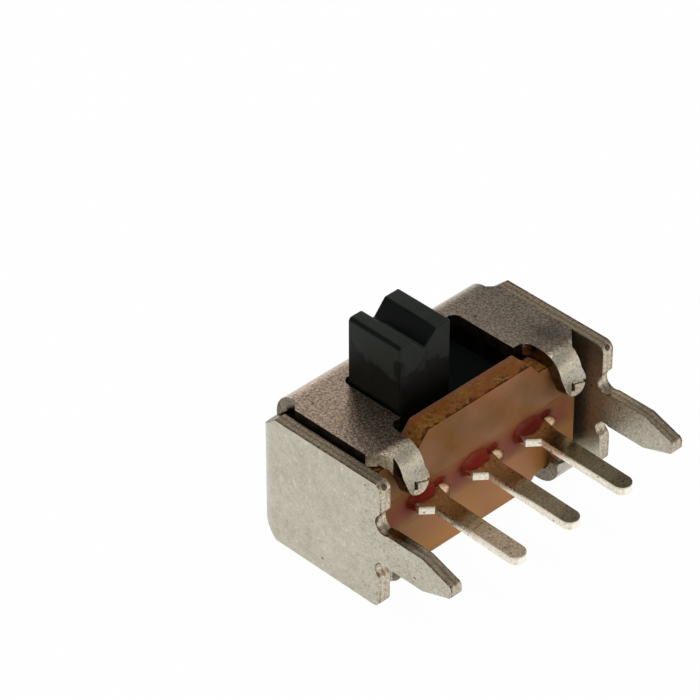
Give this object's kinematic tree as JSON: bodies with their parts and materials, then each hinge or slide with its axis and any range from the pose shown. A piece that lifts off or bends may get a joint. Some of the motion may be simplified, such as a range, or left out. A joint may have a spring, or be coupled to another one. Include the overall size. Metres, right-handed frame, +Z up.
{
  "type": "slide switch",
  "caption": "Miniature right-angle slide switch: folded metal shell with bracket legs, laminate terminal board, flat terminals and a grooved black thumb piece.",
  "frame": {"origin": "on the underside of the bottom flap, midway between the end plates and midway between the stand-off edges and the back", "axes": "+X along the slider's travel, -Y the way the terminals and legs point, +Z up through the thumb piece"},
  "size_m": [0.0088, 0.0075, 0.0064],
  "materials": {
    "plated_steel": "matt tin plate on folded steel sheet",
    "laminate": "paper-filled phenolic laminate with punched edges",
    "plated_brass": "tin-plated stamped brass",
    "varnish": "thin red varnish",
    "black_plastic": "moulded, soft sheen",
    "spring_bronze": "bare spring bronze"
  },
  "bodies": {
    "housing": {"shell": "plated_steel", "terminal_board": "laminate", "terminal_left": "plated_brass", "terminal_middle": "plated_brass", "terminal_right": "plated_brass", "sealing_varnish": "varnish"},
    "slider_unit": {"slider": "black_plastic", "contact_clip": "spring_bronze"}
  },
  "joints": [
    {"name": "slide", "type": "slide", "parent": "housing", "child": "slider_unit", "axis": [1, 0, 0], "range_m": [0, 0.00224]}
  ]
}
